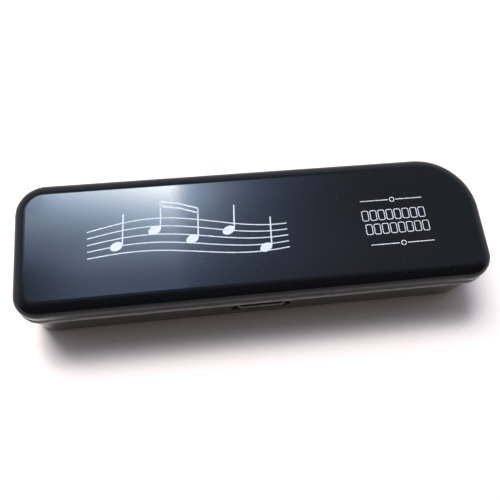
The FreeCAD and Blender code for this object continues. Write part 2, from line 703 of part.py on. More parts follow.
def barb_block():
    """The barb, drawn across the tongue: flat on top, and sloping below to lead it past the bar."""
    body = doc.addObject("PartDesign::Body", "catch_barb")
    sketch = attached_sketch(body, "catch_barb_section", "YZ_Plane", "-Layout.tongue_width / 2")
    back, low, high = place("catch_back"), place("barb_bottom"), place("barb_top")
    deep = size("catch_barb_depth")
    nose = size("catch_barb_nose")
    tip = size("catch_barb_tip")
    points = [Vector(back, low, 0), Vector(back + tip, low, 0), Vector(back + deep, high - nose, 0),
              Vector(back + deep, high, 0), Vector(back, high, 0)]
    count = len(points)
    for index, point in enumerate(points):
        sketch.addGeometry(Part.LineSegment(point, points[(index + 1) % count]))
    for index in range(count):
        sketch.addConstraint(Sketcher.Constraint("Coincident", index, 2, (index + 1) % count, 1))
    for line in (0, 3):
        sketch.addConstraint(Sketcher.Constraint("Horizontal", line))
    for line in (2, 4):
        sketch.addConstraint(Sketcher.Constraint("Vertical", line))
    drive(sketch, "low", "Layout.barb_bottom", "DistanceY", -1, 1, 0, 1, low)
    drive(sketch, "tall", "Sizes.catch_barb_height", "DistanceY", 0, 1, 3, 2, high - low)
    drive(sketch, "nose", "Sizes.catch_barb_nose", "DistanceY", 2, 1, 2, 2, nose)
    drive(sketch, "tip", "Sizes.catch_barb_tip", "DistanceX", 0, 1, 0, 2, tip)
    drive(sketch, "deep", "Sizes.catch_barb_depth", "DistanceX", 3, 2, 3, 1, deep)
    drive(sketch, "back", "-Layout.catch_back", "DistanceX", 0, 1, -1, 1, -back)
    pad(body, sketch, "Layout.tongue_width")
    return body


def lid_catch():
    """A steel plate with a tongue that hangs into the base and a barb at its lower end."""
    depth = ("Layout.catch_front", "Layout.catch_back")
    plate_top = "Layout.catch_plate_bottom + Sizes.catch_height"
    plate = centred_box("catch_plate", "0", "Sizes.catch_width", depth,
                        ("Layout.catch_plate_bottom", plate_top))
    tongue = centred_box("catch_tongue", "0", "Layout.tongue_width", depth,
                         ("Layout.barb_bottom", plate_top))
    holes = [rod("catch_hole_" + side, "y",
                 (signed(sign, "Sizes.catch_screw_spacing / 2"), "Layout.catch_front - " + OVER,
                  "Layout.catch_screw_z"),
                 "Sizes.screw_radius + Sizes.screw_clearance",
                 "Sizes.catch_thickness + 2 * " + OVER)
             for side, sign in SIDES]
    return cut("catch_whole", fuse("catch_blank", [plate, tongue, barb_block()]), holes)


node(lid_catch(), "lid_catch")
node(fuse("catch_screws", [pan_screw("catch_screw_" + side, "Layout.catch_back",
                                     signed(sign, "Sizes.catch_screw_spacing / 2"), "Layout.catch_screw_z")
                           for side, sign in SIDES]), "lid_catch_screws")


# Tray and linings

def recess_block(name, height, grow, corner, thickness):
    """A level block over the recess, its sides moved out by the two grow values along X and Y."""
    sides = ["(%s) - Layout.recess_left" % grow[0], "Layout.recess_right + (%s)" % grow[0],
             "(%s) - Layout.recess_front" % grow[1], "Layout.recess_rear + (%s)" % grow[1]]
    body = doc.addObject("PartDesign::Body", name)
    sketch = rounded_sketch(body, name + "_outline", height, sides, [corner] * 4)
    pad(body, sketch, thickness, back=True)
    return body


def recess_room(name, grow):
    """The room for the instrument: its body, the end of its slide, and four finger scoops.

    grow makes the room larger on every side and below.
    """
    top = "Layout.lining_top + " + OVER
    parts = [recess_block(name + "_body", top, (grow, grow), "Sizes.recess_corner + (%s)" % grow,
                          "%s - Layout.recess_floor + (%s)" % (top, grow))]
    slide_end = "Layout.recess_right + Sizes.slide_notch_length + (%s)" % grow
    parts.append(box(name + "_slide", ("Layout.recess_right - Sizes.recess_corner", slide_end),
                     ("Layout.slide_notch_front - (%s)" % grow, "Layout.slide_notch_rear + (%s)" % grow),
                     ("Layout.slide_notch_floor - (%s)" % grow, top)))
    for side, sign in SIDES:
        for row, inward in (("front", "+"), ("rear", "-")):
            middle = "Layout.recess_%s %s (Sizes.scoop_radius - Sizes.scoop_reach)" % (row, inward)
            parts.append(rod(name + "_scoop_%s_%s" % (row, side), "z",
                             (signed(sign, "Sizes.scoop_spacing / 2"), middle,
                              "Layout.scoop_floor - (%s)" % grow),
                             "Sizes.scoop_radius + (%s)" % grow,
                             "Sizes.scoop_depth + %s + (%s)" % (OVER, grow)))
    return fuse(name, parts)


def tray_notches(name):
    """Room in the tray for the latch at the front and the two hinge bosses at the rear."""
    tall = ("0", "2 * Layout.parting")
    notches = [box(name + "_latch", ("-Layout.latch_cut_half", "Layout.latch_cut_half"),
                   ("-Sizes.case_width", "Layout.latch_cut_back"), tall)]
    for side, sign in SIDES:
        notches.append(centred_box(name + "_hinge_" + side, signed(sign, "Layout.hinge_x"),
                                   "Layout.pin_length + 2 * Sizes.tray_clearance",
                                   ("Layout.boss_front - Sizes.tray_clearance", "Sizes.case_width"), tall))
    return notches


def tray_foam():
    block = case_block("foam_block", "Layout.tray_top", "Layout.tray_top_inset",
                       "Layout.tray_top - Sizes.base_floor", back=True, taper="Sizes.base_draft",
                       rounding="Sizes.base_inner_round + Sizes.tray_clearance")
    return cut("foam_whole", block, [recess_room("foam_recess", "Sizes.lining_thickness")]
               + tray_notches("foam_notch"))


def tray_lining():
    """A flocked skin over the tray's top and down into its recess."""
    top = case_block("lining_top", "Layout.tray_top", "Layout.tray_top_inset", "Sizes.lining_thickness")
    sheet = cut("lining_sheet", top, tray_notches("lining_notch"))
    skin = cut("lining_pocket", recess_room("lining_outer", "Sizes.lining_thickness"),
               [box("lining_trim", ("-Sizes.case_length", "Sizes.case_length"),
                    ("-Sizes.case_width", "Sizes.case_width"),
                    ("Layout.lining_top", "2 * Layout.parting"))])
    return cut("lining_whole", fuse("lining_blank", [sheet, skin]), [recess_room("lining_inner", "0")])


def lid_pad_block(name, grow):
    """The pad under the lid's ceiling, made larger all round and below by grow."""
    return recess_block(name, "Layout.lid_ceiling",
                        ("(%s) - Sizes.lid_pad_end_gap" % grow, "(%s) - Sizes.lid_pad_side_gap" % grow),
                        "Sizes.lid_pad_corner + (%s)" % grow, "Sizes.lid_pad_thickness + (%s)" % grow)


def end_cushion(name, left, front, rear):
    """A sponge block on an end wall of the recess, between two lines across the case."""
    wall = "Layout.recess_left" if left else "Layout.recess_right"
    inner = "%s %s Sizes.cushion_thickness" % (wall, "+" if left else "-")
    return box(name, (wall, inner) if left else (inner, wall), (front, rear),
               ("Layout.recess_floor", "Layout.recess_floor + Sizes.cushion_height"))


node(tray_foam(), "tray_foam")
node(tray_lining(), "tray_lining")
flat_front = "Layout.recess_front + Sizes.recess_corner"
flat_rear = "Layout.recess_rear - Sizes.recess_corner"
notch_front = "Layout.slide_notch_front - Sizes.cushion_side_gap"
notch_rear = "Layout.slide_notch_rear + Sizes.cushion_side_gap"
node(end_cushion("cushion_left", True, flat_front, flat_rear), "recess_cushion_left")
node(end_cushion("cushion_front", False, flat_front, notch_front), "recess_cushion_right_front")
node(end_cushion("cushion_rear", False, notch_rear, flat_rear), "recess_cushion_right_rear")
node(lid_pad_block("pad_block", "0"), "lid_pad")
node(cut("pad_cover", lid_pad_block("cover_block", "Sizes.lining_thickness"),
         [lid_pad_block("cover_inside", "0")]), "lid_lining")

# Test and write
doc.recompute()
for thing in doc.Objects:
    if "Invalid" in thing.State or "Error" in thing.State:
        raise RuntimeError("%s did not build: %s" % (thing.Name, thing.State))
os.makedirs("parts", exist_ok=True)
for thing in nodes:
    shape = thing.Shape
    if shape.isNull() or not shape.isValid():
        raise RuntimeError("%s has no valid shape" % thing.Label)
    shape.exportStep("parts/%s.step" % thing.Label)
    print("%-22s %d solid(s) %10.1f mm3" % (thing.Label, len(shape.Solids), shape.Volume))
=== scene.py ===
import math

import bmesh
import bpy
from mathutils import Euler, Matrix, Vector, noise as fields


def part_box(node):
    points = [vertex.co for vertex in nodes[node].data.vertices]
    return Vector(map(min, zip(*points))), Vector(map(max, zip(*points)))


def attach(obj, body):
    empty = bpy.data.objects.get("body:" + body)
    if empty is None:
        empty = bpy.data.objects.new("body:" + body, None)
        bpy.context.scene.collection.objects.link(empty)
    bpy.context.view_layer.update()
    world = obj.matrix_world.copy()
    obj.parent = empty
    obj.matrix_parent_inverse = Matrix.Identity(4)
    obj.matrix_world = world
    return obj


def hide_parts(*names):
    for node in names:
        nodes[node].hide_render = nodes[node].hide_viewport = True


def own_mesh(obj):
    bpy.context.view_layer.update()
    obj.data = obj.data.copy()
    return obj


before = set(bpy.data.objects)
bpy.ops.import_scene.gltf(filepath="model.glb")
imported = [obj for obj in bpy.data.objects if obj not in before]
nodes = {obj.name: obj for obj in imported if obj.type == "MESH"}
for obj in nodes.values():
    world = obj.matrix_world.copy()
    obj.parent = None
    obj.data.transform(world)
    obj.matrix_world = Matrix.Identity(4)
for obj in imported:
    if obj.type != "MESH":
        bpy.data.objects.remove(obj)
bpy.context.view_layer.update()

# Shapes are worked out in millimetres, and MM brings them to the frame's metres
MM = 0.001


# Camera at the photograph's place

SENSOR_WIDTH = 36.0
LENS = 37.08
CAMERA_PLACE = (-0.02791, -0.08307, 0.26450)
CAMERA_TURN = (0.32215, -0.06682, -0.11076)


def make_camera():
    data = bpy.data.cameras.new("camera")
    data.sensor_width = SENSOR_WIDTH
    data.lens = LENS
    data.clip_start = 0.01
    camera = bpy.data.objects.new("camera", data)
    camera.location = CAMERA_PLACE
    camera.rotation_euler = Euler(CAMERA_TURN, "XYZ")
    bpy.context.scene.collection.objects.link(camera)
    bpy.context.scene.camera = camera


# Node helpers

class Tree:
    """A node tree with short calls for the nodes used here.

    Each value is a plain one or another node's output, and a colour has three numbers.
    """

    def __init__(self, tree):
        self.tree = tree
        tree.nodes.clear()

    def add(self, kind, **values):
        made = self.tree.nodes.new(kind)
        for name, value in values.items():
            if hasattr(made, name):
                setattr(made, name, value)
            else:
                self.plug(made.inputs[name], value)
        return made

    def plug(self, socket, value):
        if isinstance(value, bpy.types.NodeSocket):
            self.tree.links.new(value, socket)
        elif socket.type == "RGBA":
            socket.default_value = (*value, 1.0)
        else:
            socket.default_value = value

    def math(self, operation, *values):
        made = self.tree.nodes.new("ShaderNodeMath")
        made.operation = operation
        for socket, value in zip(made.inputs, values):
            self.plug(socket, value)
        return made.outputs[0]

    def product(self, value, *others):
        """All the values multiplied, from the first to the last."""
        for other in others:
            value = self.math("MULTIPLY", value, other)
        return value

    def rest(self, share):
        """What the share leaves of 1."""
        return self.math("SUBTRACT", 1.0, share)

    def rise(self, value, start, slope, most=1.0):
        """A steep curve that reaches 1 where value is start, held at most."""
        power = self.product(self.math("SUBTRACT", value, start), slope)
        return self.math("MINIMUM", self.math("EXPONENT", power), most)

    def ramp(self, value, low, high, start=0.0, end=1.0):
        """value from low..high to start..end, smooth and held at both ends."""
        made = self.tree.nodes.new("ShaderNodeMapRange")
        made.interpolation_type = "SMOOTHSTEP"
        for socket, item in zip(made.inputs, (value, low, high, start, end)):
            self.plug(socket, item)
        return made.outputs[0]

    def mix(self, factor, first, second):
        made = self.tree.nodes.new("ShaderNodeMix")
        made.data_type = "RGBA"
        self.plug(made.inputs["Factor"], factor)
        self.plug(made.inputs["A"], first)
        self.plug(made.inputs["B"], second)
        return made.outputs["Result"]

    def scaled(self, colour, strength):
        made = self.add("ShaderNodeVectorMath", operation="SCALE", Scale=strength)
        self.plug(made.inputs[0], colour)
        return made.outputs[0]

    def added(self, first, second):
        made = self.add("ShaderNodeVectorMath", operation="ADD")
        self.plug(made.inputs[0], first)
        self.plug(made.inputs[1], second)
        return made.outputs[0]


# World: a dim room with one large window at the rear left

PANE_STRENGTH = 25.0
CURTAIN_STRENGTH = 3.2
PANE_EDGE, CURTAIN_EDGE = -0.05, -0.018
SILL_LOW, SILL_HIGH = 0.315, 0.385
BLUE_LIGHT, CLEAR_LIGHT, WHITE_LIGHT = (0.63, 0.85, 1.48), (0.72, 0.96, 1.32), (0.92, 1.0, 1.08)
CEILING_FRONT, CEILING_REAR = (0.041, 0.034, 0.028), (0.222, 0.264, 0.288)
WALL_FRONT, WALL_REAR = (0.052, 0.043, 0.036), (0.46, 0.50, 0.62)
BACKGROUND = (0.94, 0.94, 0.95)


def pane(tree, across, back, past):
    """The bright pane, strongest at its top right, with the sill and the frame's edge at its left."""
    slant = tree.ramp(back, SILL_LOW, SILL_HIGH, 0.0, 3.4)
    sill = tree.product(
        tree.ramp(back, SILL_LOW, SILL_HIGH, 1.0, 0.0),
        tree.ramp(across, -0.40, -0.19, 1.0, 0.0))
    frame_edge = tree.product(tree.ramp(across, -0.345, -0.28, 0.42, 0.0), tree.ramp(back, 0.42, 0.47))
    return tree.product(
        tree.rise(back, 0.477, 13.0, 1.25),
        tree.rise(across, PANE_EDGE, slant),
        tree.rest(past),
        tree.ramp(across, -0.95, -0.36),
        tree.rest(sill),
        tree.ramp(back, 0.26, 0.36, 0.70, 1.0),
        tree.ramp(back, 0.24, 0.30, 1.7, 1.0),
        tree.rest(frame_edge))


def curtain(tree, across, back, past):
    """The dimmer light to the right of the pane, which fades sooner further back."""
    fade = tree.ramp(back, 0.27, 0.44, -6.5, -12.0)
    return tree.product(
        tree.rise(back, 0.37, 9.0, 2.2),
        tree.rise(back, 0.37, 4.0),
        tree.rise(across, 0.0, fade, 1.4),
        tree.product(past, CURTAIN_STRENGTH))


def make_world():
    """The room by direction, and an even background for the camera.

    across and back say how far a direction leads to the right and to the rear for each unit that
    it rises, so that even steps of them are even steps on the mirror of the flat lid.
    """
    world = bpy.data.worlds.new("room")
    bpy.context.scene.world = world
    world.use_nodes = True
    tree = Tree(world.node_tree)
    way = tree.add("ShaderNodeTexCoord").outputs["Generated"]
    split = tree.add("ShaderNodeSeparateXYZ", Vector=way)
    up = split.outputs["Z"]
    safe = tree.math("MAXIMUM", up, 0.05)
    across = tree.math("DIVIDE", split.outputs["X"], safe)
    back = tree.math("DIVIDE", split.outputs["Y"], safe)

    past = tree.ramp(across, PANE_EDGE, CURTAIN_EDGE)
    window = tree.product(pane(tree, across, back, past), PANE_STRENGTH)
    light = tree.product(
        tree.math("ADD", window, curtain(tree, across, back, past)),
        tree.ramp(back, 0.54, 0.74, 1.0, 0.0),
        tree.ramp(up, 0.3, 0.45))
    cold = tree.mix(tree.ramp(light, 0.5, 4.0), BLUE_LIGHT, CLEAR_LIGHT)
    glow = tree.scaled(tree.mix(tree.ramp(light, 4.0, 22.0), cold, WHITE_LIGHT), light)

    ceiling = tree.mix(tree.ramp(back, -0.35, 0.18), CEILING_FRONT, CEILING_REAR)
    walls = tree.mix(tree.ramp(split.outputs["Y"], -0.50, 0.05), WALL_FRONT, WALL_REAR)
    room = tree.mix(tree.ramp(up, 0.35, 0.75), walls, ceiling)
    seen = tree.add("ShaderNodeLightPath").outputs["Is Camera Ray"]
    whole = tree.mix(seen, tree.added(room, glow), BACKGROUND)
    shade = tree.add("ShaderNodeBackground", Color=whole)
    tree.plug(tree.add("ShaderNodeOutputWorld").inputs["Surface"], shade.outputs[0])


def make_lamp(name, towards, away, size, power, colour):
    """A soft square lamp that lights without adding a second highlight to the polished lid."""
    data = bpy.data.lights.new(name, "AREA")
    data.size = size
    data.energy = power
    data.color = colour
    lamp = bpy.data.objects.new(name, data)
    way = Vector(towards).normalized()
    lamp.location = way * away
    lamp.rotation_euler = way.to_track_quat("Z", "Y").to_euler()
    lamp.visible_glossy = False
    bpy.context.scene.collection.objects.link(lamp)


# Floor

FLOOR_SIZE = 6.0
HALF_LENGTH, HALF_DEPTH = 112.0 * MM, 32.0 * MM
BRIGHT_TO, DIM_FROM = 10.0 * MM, 25.0 * MM
TABLE, PAPER = (0.46, 0.41, 0.37), (1.34, 1.14, 1.02)


def make_floor():
    """White paper to the camera, a mid-toned table to other light.

    In the case's mirror the paper fades to the table a short way off its sides.
    """
    bpy.ops.mesh.primitive_plane_add(size=FLOOR_SIZE, location=(0, 0, 0))
    floor = bpy.context.object
    floor.name = "floor"
    material = bpy.data.materials.new("paper")
    material.use_nodes = True
    tree = Tree(material.node_tree)
    path = tree.add("ShaderNodeLightPath")
    place = tree.add("ShaderNodeSeparateXYZ", Vector=tree.add("ShaderNodeTexCoord").outputs["Object"])

    def beyond(axis, half):
        distance = tree.math("SUBTRACT", tree.math("ABSOLUTE", place.outputs[axis]), half)
        return tree.math("MAXIMUM", distance, 0.0)

    beside = beyond("X", HALF_LENGTH)
    before = beyond("Y", HALF_DEPTH)
    away = tree.math("SQRT", tree.math("ADD", tree.product(beside, beside), tree.product(before, before)))
    glossy = tree.product(path.outputs["Is Glossy Ray"], tree.ramp(away, BRIGHT_TO, DIM_FROM, 1.0, 0.10))
    shown = tree.math("MAXIMUM", path.outputs["Is Camera Ray"], glossy)
    shade = tree.add("ShaderNodeBsdfDiffuse", Color=tree.mix(shown, TABLE, PAPER))
    tree.plug(tree.add("ShaderNodeOutputMaterial").inputs["Surface"], shade.outputs[0])
    floor.data.materials.append(material)


# Materials

SPECK = (0.046, 0.047, 0.050)
# Lighter colours painted over the black: a faint painted sheen, and a painted highlight on a lit edge
PAINTED_SHEEN = (0.40, 0.39, 0.38)
PAINTED_HIGHLIGHT = (0.68, 0.66, 0.63)
STAIN = (0.20, 0.18, 0.16)
INK_THIN, INK_FULL = (0.64, 0.66, 0.68), (0.86, 0.87, 0.88)


def surface(name, metallic=0.0, specular=0.5, sheen=0.0, sheen_roughness=0.5, tint=(1.0, 1.0, 1.0)):
    """A material with its shader, whose even values are set on the shader's own sockets."""
    material = bpy.data.materials.new(name)
    material.use_nodes = True
    tree = Tree(material.node_tree)
    shader = tree.add("ShaderNodeBsdfPrincipled")
    tree.plug(shader.inputs["Metallic"], metallic)
    tree.plug(shader.inputs["Specular IOR Level"], specular)
    tree.plug(shader.inputs["Sheen Weight"], sheen)
    tree.plug(shader.inputs["Sheen Roughness"], sheen_roughness)
    tree.plug(shader.inputs["Sheen Tint"], tint)
    tree.plug(tree.add("ShaderNodeOutputMaterial").inputs["Surface"], shader.outputs[0])
    where = tree.add("ShaderNodeTexCoord").outputs["Object"]
    return material, tree, shader, where


def grain(tree, where, scale, detail=2.0, roughness=0.5):
    noise = tree.add("ShaderNodeTexNoise", Vector=where, Scale=scale, Detail=detail, Roughness=roughness)
    return noise.outputs[0]


def cells(tree, where, scale):
    """How far each place is from the middle of its cell."""
    return tree.add("ShaderNodeTexVoronoi", Vector=where, Scale=scale).outputs["Distance"]


def stretched(tree, where, scale):
    return tree.add("ShaderNodeMapping", Vector=where, Scale=scale).outputs[0]


def bump(tree, shader, height, strength, distance):
    made = tree.add("ShaderNodeBump", Strength=strength, Distance=distance, Height=height)
    tree.plug(shader.inputs["Normal"], made.outputs[0])


def painted_edge_highlight(tree, where, low, high, reach):
    """How much painted highlight a place has between two heights, and how much fainter painted sheen
    from there up to the reach above; both also make the place rougher, as wear haze.

    The painted highlight is strongest in front, and the painted sheen thins out upwards.
    """
    soft = 0.1 * MM
    front, behind = -31.0 * MM, -22.0 * MM
    place = tree.add("ShaderNodeSeparateXYZ", Vector=where)
    height = place.outputs["Z"]
    band = tree.product(
        tree.ramp(height, low - soft, low + soft),
        tree.ramp(height, high - 3 * soft, high + 2 * soft, 1.0, 0.0))
    # The painted highlight is made stronger in front
    handled = tree.ramp(place.outputs["Y"], front, behind, 1.0, 0.42)
    patches = tree.ramp(grain(tree, where, 160.0, 4.0, 0.65), 0.25, 0.6, 0.84, 1.0)
    above = tree.product(
        tree.ramp(height, high - 8 * soft, high - 2 * soft),
        tree.ramp(height, high - 2 * soft, high + reach, 1.0, 0.0))
    marks = tree.ramp(grain(tree, where, 300.0, 4.0, 0.6), 0.3, 0.65, 0.82, 1.0)
    return tree.product(band, handled, patches), tree.product(above, marks)


def polished_plastic(name, dark, light, rough, painted_band=None, specular=0.5):
    """Polished moulding: faint colour drift, fine handling haze and a few specks of dust.

    rough is the least and the most of its roughness. painted_band is a band of heights with a painted
    highlight and wear haze, and how far above it a fainter painted sheen reaches, all in millimetres.
    """
    material, tree, shader, where = surface(name, specular=specular)
    dust = tree.ramp(cells(tree, where, 330.0), 0.04, 0.12, 1.0, 0.0)
    few = tree.product(dust, tree.ramp(grain(tree, where, 55.0), 0.46, 0.62))
    colour = tree.mix(few, tree.mix(grain(tree, where, 22.0), dark, light), SPECK)
    haze = tree.ramp(grain(tree, where, 520.0, 4.0, 0.6), 0.35, 0.7, *rough)
    haze = tree.math("ADD", haze, tree.product(few, 0.12))
    if painted_band:
        highlight_and_haze, sheen_and_haze = painted_edge_highlight(tree, where, *(value * MM for value in painted_band))
        # The lighter colours here are a painted highlight on the band and a painted sheen above it
        colour = tree.mix(tree.product(sheen_and_haze, 0.09), colour, PAINTED_SHEEN)
        colour = tree.mix(highlight_and_haze, colour, PAINTED_HIGHLIGHT)
        haze = tree.math("ADD", haze, tree.product(tree.math("MAXIMUM", highlight_and_haze, sheen_and_haze), 0.24))
    tree.plug(shader.inputs["Base Color"], colour)
    tree.plug(shader.inputs["Roughness"], haze)
    bump(tree, shader, grain(tree, where, 900.0, 2.0), 0.025, 0.1 * MM)
    return material


def moulded_plastic(name, dark, light):
    """Plain eroded finish of an inner moulding."""
    material, tree, shader, where = surface(name)
    fine = grain(tree, where, 1400.0, 3.0, 0.6)
    tree.plug(shader.inputs["Base Color"], tree.mix(grain(tree, where, 60.0, 3.0), dark, light))
    tree.plug(shader.inputs["Roughness"], tree.ramp(fine, 0.3, 0.7, 0.42, 0.62))
    bump(tree, shader, fine, 0.35, 0.08 * MM)
    return material


def steel(name, dark, light, lines, rough):
    """Metal with darker handled patches and the lines of its making.

    The lines run along the axis that has the smallest number in lines, and rough is the least
    and the most of its roughness.
    """
    material, tree, shader, where = surface(name, metallic=1.0)
    drawn = grain(tree, stretched(tree, where, lines), 260.0, 4.0, 0.65)
    stain = tree.ramp(grain(tree, where, 120.0, 4.0, 0.6), 0.45, 0.75)
    clean = tree.mix(drawn, dark, light)
    tree.plug(shader.inputs["Base Color"], tree.mix(tree.product(stain, 0.35), clean, STAIN))
    haze = tree.ramp(drawn, 0.3, 0.7, *rough)
    tree.plug(shader.inputs["Roughness"], tree.math("ADD", haze, tree.product(stain, 0.12)))
    bump(tree, shader, drawn, 0.25, 0.05 * MM)
    return material


def sponge(name, dark, light):
    """Open-cell sponge: small round cells of two sizes, with painted shade in the low places between them.
    """
    material, tree, shader, where = surface(name, specular=0.2)
    small = tree.product(cells(tree, where, 1500.0), 0.5)
    large = tree.product(cells(tree, where, 620.0), 0.6)
    height = tree.math("ADD", small, large)
    # The low places between the raised cells are painted darker, as painted shade
    tree.plug(shader.inputs["Base Color"], tree.mix(tree.ramp(height, 0.15, 0.7), light, dark))
    tree.plug(shader.inputs["Roughness"], 0.95)
    bump(tree, shader, tree.rest(height), 0.8, 0.4 * MM)
    return material


def flock(name, dark, light):
    """Short upright nap that lies darker where it is stroked one way."""
    material, tree, shader, where = surface(
        name, specular=0.1, sheen=1.0, sheen_roughness=0.35, tint=(0.62, 0.66, 0.80))
    nap = grain(tree, where, 2600.0, 3.0, 0.7)
    stroked = tree.ramp(grain(tree, stretched(tree, where, (1.0, 2.4, 1.0)), 34.0, 3.0, 0.55), 0.30, 0.76)
    mixed = tree.math("ADD", tree.product(stroked, 0.42), tree.product(nap, 0.58))
    tree.plug(shader.inputs["Base Color"], tree.mix(tree.ramp(mixed, 0.15, 0.95), dark, light))
    tree.plug(shader.inputs["Roughness"], 1.0)
    bump(tree, shader, tree.math("ADD", nap, tree.product(stroked, 0.7)), 0.7, 0.25 * MM)
    return material


def ink(name):
    """Thin printed white: slightly uneven cover over the black."""
    material, tree, shader, where = surface(name)
    cover = tree.ramp(grain(tree, where, 900.0, 4.0, 0.7), 0.3, 0.6)
    tree.plug(shader.inputs["Base Color"], tree.mix(cover, INK_THIN, INK_FULL))
    tree.plug(shader.inputs["Roughness"], tree.ramp(cover, 0.0, 1.0, 0.55, 0.40))
    return material


def paint(material, *names):
    for name in names:
        node = nodes[name]
        node.data.materials.clear()
        node.data.materials.append(material)


# Mesh helpers

def linked(name, mesh):
    thing = bpy.data.objects.new(name, mesh)
    bpy.context.scene.collection.objects.link(thing)
    return thing


def from_lists(name, points, faces):
    """A closed mesh of points in millimetres, with its normals outwards."""
    mesh = bpy.data.meshes.new(name)
    mesh.from_pydata([Vector(point) * MM for point in points], [], faces)
    mesh.validate()
    made = bmesh.new()
    made.from_mesh(mesh)
    bmesh.ops.recalc_face_normals(made, faces=made.faces)
    made.to_mesh(mesh)
    made.free()
    return linked(name, mesh)


def applied(thing):
    """The object with its modifiers made part of the mesh."""
    bpy.context.view_layer.update()
    graph = bpy.context.evaluated_depsgraph_get()
    mesh = bpy.data.meshes.new_from_object(thing.evaluated_get(graph))
    old = thing.data
    thing.modifiers.clear()
    thing.data = mesh
    bpy.data.meshes.remove(old)
    return thing


def remeshed(name, node, voxel, rounds):
    """A new mesh of a CAD node, evenly divided at voxel millimetres and softened in rounds."""
    mesh = nodes[node].data.copy()
    mesh.name = name
    mesh.materials.clear()
    thing = linked(name, mesh)
    weld = thing.modifiers.new("weld", "WELD")
    weld.merge_threshold = 1e-6
    remesh = thing.modifiers.new("remesh", "REMESH")
    remesh.mode = "VOXEL"
    remesh.voxel_size = voxel * MM
    smooth = thing.modifiers.new("smooth", "SMOOTH")
    smooth.factor = 0.5
    smooth.iterations = rounds
    return applied(thing)


def moved(thing, shift):
    """Moves each point of the mesh by shift(place, normal)."""
    mesh = thing.data
    steps = [shift(point.co / MM, point.normal) for point in mesh.vertices]
    for point, step in zip(mesh.vertices, steps):
        point.co += step * MM
    mesh.update()


def uneven(place, size, amount):
    """A gentle unevenness of a soft surface, in millimetres."""
    return amount * fields.fractal(place / size, 1.0, 2.0, 2)


def split_off(thing, name, keep):
    """A second object of the faces whose middle and normal pass keep."""
    made = bmesh.new()
    made.from_mesh(thing.data)
    made.normal_update()
    drop = [face for face in made.faces if not keep(face.calc_center_median() / MM, face.normal)]
    bmesh.ops.delete(made, geom=drop, context="FACES")
    mesh = bpy.data.meshes.new(name)
    made.to_mesh(mesh)
    made.free()
    return linked(name, mesh)


def thickened(thing, thickness):
    """A skin of that thickness, outwards from the mesh."""
    solid = thing.modifiers.new("skin", "SOLIDIFY")
    solid.thickness = thickness * MM
    solid.offset = 1.0
    solid.use_even_offset = False
    return applied(thing)


def swollen(thing, held, most):
    """The closed form puffed up by inner pressure, as a cloth simulation.

    Points that pass held stay, and none moves further than most, in millimetres. The form is
    worked on at the size of a seat pad, where the cloth's own settings hold good.
    """
    seat_pad, pressure, frames = 0.8, 4.0, 20
    scale = seat_pad / max(thing.dimensions)
    rest = [point.co.copy() for point in thing.data.vertices]
    thing.data.transform(Matrix.Scale(scale, 4))
    pinned = thing.vertex_groups.new(name="held")
    pinned.add([i for i, place in enumerate(rest) if held(place / MM)], 1.0, "REPLACE")
    cloth = thing.modifiers.new("cloth", "CLOTH")
    cloth.settings.vertex_group_mass = "held"
    cloth.settings.use_pressure = True
    cloth.settings.uniform_pressure_force = pressure
    cloth.settings.effector_weights.gravity = 0.0
    for moment in range(1, frames + 1):
        bpy.context.scene.frame_set(moment)
    applied(thing)
    bpy.context.scene.frame_set(1)
    thing.vertex_groups.clear()
    for point, start in zip(thing.data.vertices, rest):
        step = point.co / scale - start
        point.co = start + step * min(1.0, most * MM / max(step.length, 1e-9))
    finer = thing.modifiers.new("finer", "SUBSURF")
    finer.levels = 1
    return applied(thing)


def finished(thing, material, slot, body, *replaced):
    thing.data.materials.clear()
    thing.data.materials.append(material)
    for face in thing.data.polygons:
        face.use_smooth = True
    if replaced:
        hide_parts(*replaced)
    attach(thing, body)
    return thing


# Soft pieces

def make_tray(foam, lining):
    """The tray's sponge, and the flock on its top and over its recess, but not in the latch's room."""
    tray = remeshed("tray_sponge", "tray_foam", 0.8, 3)
    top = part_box("tray_foam")[1].z / MM
    top_edge = 0.7
    underside = 3.6
    recess_left, recess_right = -106.4, 103.3
    recess_front, recess_rear = -23.4, 27.9
    latch_side, latch_rear = 23.0, -19.9
    # A line along the middle of the recess, which its walls face
    middle_left, middle_right, middle_y = -92.0, 80.0, 2.2
    upwards = 0.35
    waves, depth = 24.0, 0.10
    skin_gap, skin_thickness = 0.04, 0.45

    def on_top(place, normal):
        return place.z > top - top_edge and normal.z > upwards

    def in_latch_room(place):
        return abs(place.x) < latch_side and place.y < latch_rear

    def faces_in(place, normal):
        middle = Vector((max(middle_left, min(place.x, middle_right)), middle_y, place.z))
        return normal.z > upwards or normal.dot(middle - place) > 0.0

    def in_recess(place, normal):
        within = recess_left < place.x < recess_right and recess_front < place.y < recess_rear
        return within and place.z > underside and not in_latch_room(place) and faces_in(place, normal)

    def lined(place, normal):
        return on_top(place, normal) or in_recess(place, normal)

    skin = split_off(tray, "tray_flock", lined)
    moved(skin, lambda place, normal: normal * uneven(place, waves, depth))
    moved(tray, lambda place, normal: normal * (uneven(place, waves, depth) - skin_gap))
    thickened(skin, skin_thickness)
    finished(tray, foam, "foam", "base", "tray_foam")
    finished(skin, lining, "flocked_lining", "base", "tray_lining")


def make_cushion(node, inward, foam):
    """A sponge block glued to an end wall, its free face crowned and its edges soft.

    inward is 1 where the recess lies to its right and -1 where it lies to its left.
    """
    low, high = (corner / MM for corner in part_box(node))
    thing = remeshed(node + "_sponge", node, 0.8, 2)
    middle = (low + high) / 2
    half = (high - low) / 2
    shrink, edge_pull, most_swell = 0.35, 0.45, 0.5
    waves, depth, glued = 6.0, 0.08, 0.2

    def crown(place, normal):
        side = place - middle
        edge = max(abs(side.y) / half.y, abs(side.z) / half.z)
        free = max(0.0, inward * side.x / half.x)
        pull = -edge_pull * free * edge ** 4
        return Vector((inward * (pull - shrink * free + uneven(place, waves, depth) * free), 0.0, 0.0))

    moved(thing, crown)
    swollen(thing, lambda place: inward * (place.x - middle.x) < glued - half.x, most_swell)
    finished(thing, foam, "foam", "base", node)


